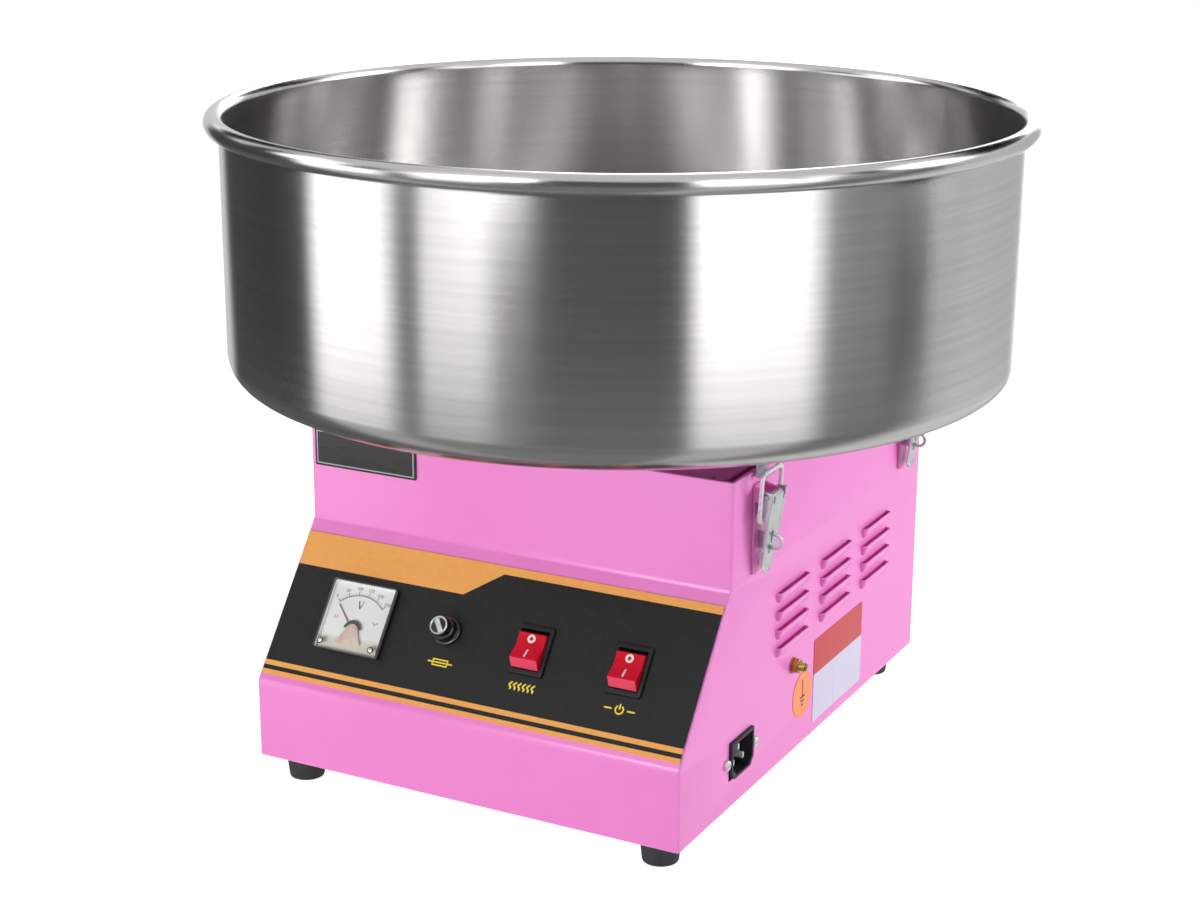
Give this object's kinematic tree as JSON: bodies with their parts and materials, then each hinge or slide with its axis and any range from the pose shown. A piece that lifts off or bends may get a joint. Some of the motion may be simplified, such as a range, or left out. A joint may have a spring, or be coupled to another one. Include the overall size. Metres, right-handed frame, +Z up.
{
  "type": "cotton candy machine",
  "caption": "Electric bench-top cotton candy machine: lift-off steel bowl held by toggle latches over a slotted spinner head, on a pink sheet-steel casing with a sloped control panel.",
  "frame": {"origin": "on the floor, under the middle of the bowl and the spinner shaft", "axes": "+Z up along the spinner shaft, front with the control panel faces -Y, mains inlet on the +X side"},
  "size_m": [0.52, 0.52, 0.408],
  "materials": {
    "pink_paint": "gloss baked enamel",
    "bowl_steel": "fine circular brushing",
    "spring_steel": "plain",
    "zinc": "bright zinc plate",
    "aluminium": "turned",
    "brass": "turned",
    "black_plastic": "fine moulded grain",
    "panel_film": "printed polycarbonate film",
    "name_film": "plain plate",
    "red_plastic": "gloss moulded",
    "white_plastic": "moulded",
    "dial_face": "printed dial",
    "clear_plastic": "clear moulded",
    "motor_enamel": "black enamel",
    "carbon": "pressed carbon",
    "rubber": "moulded"
  },
  "bodies": {
    "machine": {"casing_shell": "pink_paint", "rear_panel": "pink_paint", "base_plate": "zinc", "bridge": "pink_paint", "bowl_seat_ring": "pink_paint", "foot_front_left": "rubber", "foot_front_right": "rubber", "foot_rear_left": "rubber", "foot_rear_right": "rubber", "control_overlay": "panel_film", "name_plate": "name_film", "meter_case": "black_plastic", "meter_window": "clear_plastic", "meter_dial": "dial_face", "fuse_holder": "black_plastic", "heat_switch_body": "black_plastic", "power_switch_body": "black_plastic", "inlet_socket": "black_plastic", "inlet_screw_front": "zinc", "inlet_screw_rear": "zinc", "earth_stud": "brass", "latch_base_right_front": "zinc", "latch_base_right_rear": "zinc", "latch_base_left_front": "zinc", "latch_base_left_rear": "zinc", "motor": "motor_enamel", "motor_isolator_1": "rubber", "motor_isolator_2": "rubber", "motor_isolator_3": "rubber", "brush_holder": "black_plastic", "brush_lower": "carbon", "brush_upper": "carbon", "terminal_block": "white_plastic"},
    "spinner": {"drive_shaft": "spring_steel", "cooling_fan": "aluminium", "slip_ring_bush": "brass", "spinner_pan": "aluminium", "spinner_band": "spring_steel", "heater_ribbon": "spring_steel", "spinner_lid": "aluminium", "hub_nut": "spring_steel"},
    "bowl_with_keepers": {"bowl": "bowl_steel", "keeper_right_front": "spring_steel", "keeper_right_rear": "spring_steel", "keeper_left_front": "spring_steel", "keeper_left_rear": "spring_steel"},
    "heat_key": {"heat_rocker": "red_plastic"},
    "power_key": {"power_rocker": "red_plastic"},
    "needle": {"meter_needle": "red_plastic"},
    "fuse": {"fuse_cap": "black_plastic", "fuse_link": "clear_plastic"},
    "lever_right_front": {"latch_lever_right_front": "zinc"},
    "lever_right_rear": {"latch_lever_right_rear": "zinc"},
    "lever_left_front": {"latch_lever_left_front": "zinc"},
    "lever_left_rear": {"latch_lever_left_rear": "zinc"},
    "bail_right_front": {"latch_bail_right_front": "zinc"},
    "bail_right_rear": {"latch_bail_right_rear": "zinc"},
    "bail_left_front": {"latch_bail_left_front": "zinc"},
    "bail_left_rear": {"latch_bail_left_rear": "zinc"}
  },
  "joints": [
    {"name": "spinner_spin", "type": "hinge", "parent": "machine", "child": "spinner", "pos_m": [0, 0, 0.2], "axis": [0, 0, 1], "continuous": true},
    {"name": "bowl_lift", "type": "slide", "parent": "machine", "child": "bowl_with_keepers", "axis": [0, 0, 1], "range_m": [0, 0.2]},
    {"name": "heat_press", "type": "hinge", "parent": "machine", "child": "heat_key", "pos_m": [0.0326, -0.17716, 0.10962], "axis": [1, 0, 0], "range_deg": [0, 22.9]},
    {"name": "power_press", "type": "hinge", "parent": "machine", "child": "power_key", "pos_m": [0.0977, -0.17716, 0.10962], "axis": [1, 0, 0], "range_deg": [0, 22.9]},
    {"name": "needle_swing", "type": "hinge", "parent": "machine", "child": "needle", "pos_m": [-0.089, -0.18444, 0.10208], "axis": [0, 0.8, -0.6], "range_deg": [0, 90], "stiffness_Nm_per_rad": 0.00005, "springref_deg": -17.19},
    {"name": "fuse_draw", "type": "slide", "parent": "machine", "child": "fuse", "axis": [0, -0.8, 0.6], "range_m": [0, 0.03]},
    {"name": "lever_right_front_swing", "type": "hinge", "parent": "machine", "child": "lever_right_front", "pos_m": [0.155, -0.107, 0.206], "axis": [0, -1, 0], "range_deg": [0, 110]},
    {"name": "lever_right_rear_swing", "type": "hinge", "parent": "machine", "child": "lever_right_rear", "pos_m": [0.155, 0.134, 0.206], "axis": [0, -1, 0], "range_deg": [0, 110]},
    {"name": "lever_left_front_swing", "type": "hinge", "parent": "machine", "child": "lever_left_front", "pos_m": [-0.155, -0.107, 0.206], "axis": [0, 1, 0], "range_deg": [0, 110]},
    {"name": "lever_left_rear_swing", "type": "hinge", "parent": "machine", "child": "lever_left_rear", "pos_m": [-0.155, 0.134, 0.206], "axis": [0, 1, 0], "range_deg": [0, 110]},
    {"name": "bail_right_front_swing", "type": "hinge", "parent": "lever_right_front", "child": "bail_right_front", "pos_m": [0.1527, -0.107, 0.192], "axis": [0, -1, 0], "range_deg": [-132, 0]},
    {"name": "bail_right_rear_swing", "type": "hinge", "parent": "lever_right_rear", "child": "bail_right_rear", "pos_m": [0.1527, 0.134, 0.192], "axis": [0, -1, 0], "range_deg": [-132, 0]},
    {"name": "bail_left_front_swing", "type": "hinge", "parent": "lever_left_front", "child": "bail_left_front", "pos_m": [-0.1527, -0.107, 0.192], "axis": [0, 1, 0], "range_deg": [-132, 0]},
    {"name": "bail_left_rear_swing", "type": "hinge", "parent": "lever_left_rear", "child": "bail_left_rear", "pos_m": [-0.1527, 0.134, 0.192], "axis": [0, 1, 0], "range_deg": [-132, 0]}
  ],
  "couplings": [
    {"joint": "bail_right_front_swing", "follows": "lever_right_front_swing", "ratio": -1.2},
    {"joint": "bail_right_rear_swing", "follows": "lever_right_rear_swing", "ratio": -1.2},
    {"joint": "bail_left_front_swing", "follows": "lever_left_front_swing", "ratio": -1.2},
    {"joint": "bail_left_rear_swing", "follows": "lever_left_rear_swing", "ratio": -1.2}
  ]
}
